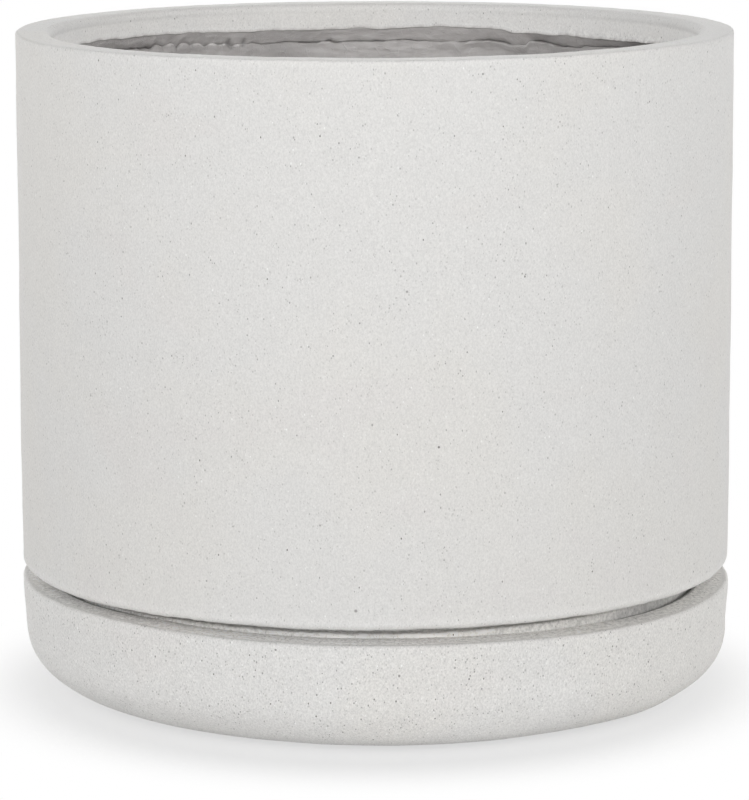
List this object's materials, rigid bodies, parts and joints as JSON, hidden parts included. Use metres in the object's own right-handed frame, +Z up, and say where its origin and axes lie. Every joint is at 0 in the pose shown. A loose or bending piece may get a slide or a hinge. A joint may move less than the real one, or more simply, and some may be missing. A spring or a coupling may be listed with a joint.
{
  "type": "planter with saucer",
  "caption": "Round straight-walled planter in speckled pale stone-finish fiberglass, with a thick flat rim and a stepped foot, standing in a matching saucer of about its own width.",
  "frame": {"origin": "on the floor, under the centre of the saucer", "axes": "+Z up along the planter's axis of revolution; the camera of the picture looks along +Y"},
  "size_m": [0.3816, 0.3816, 0.3525],
  "materials": {
    "stone_finish": "matt cast stone composite with fine sand specks and pinholes",
    "fiberglass_layup": "rough brushed grey resin over glass mat",
    "plug_rubber": "matt black moulded rubber",
    "pad_felt": "grey pressed felt"
  },
  "bodies": {
    "saucer": {"saucer_shell": "stone_finish", "saucer_laminate": "fiberglass_layup", "saucer_pad_1": "pad_felt", "saucer_pad_2": "pad_felt", "saucer_pad_3": "pad_felt", "saucer_pad_4": "pad_felt"},
    "pot": {"pot_shell": "stone_finish", "pot_laminate": "fiberglass_layup"},
    "plug": {"drain_plug": "plug_rubber"}
  },
  "joints": [
    {"name": "pot_lift", "type": "slide", "parent": "saucer", "child": "pot", "axis": [0, 0, 1], "range_m": [0, 0.12]},
    {"name": "plug_pull", "type": "slide", "parent": "pot", "child": "plug", "axis": [0, 0, 1], "range_m": [0, 0.36]}
  ]
}
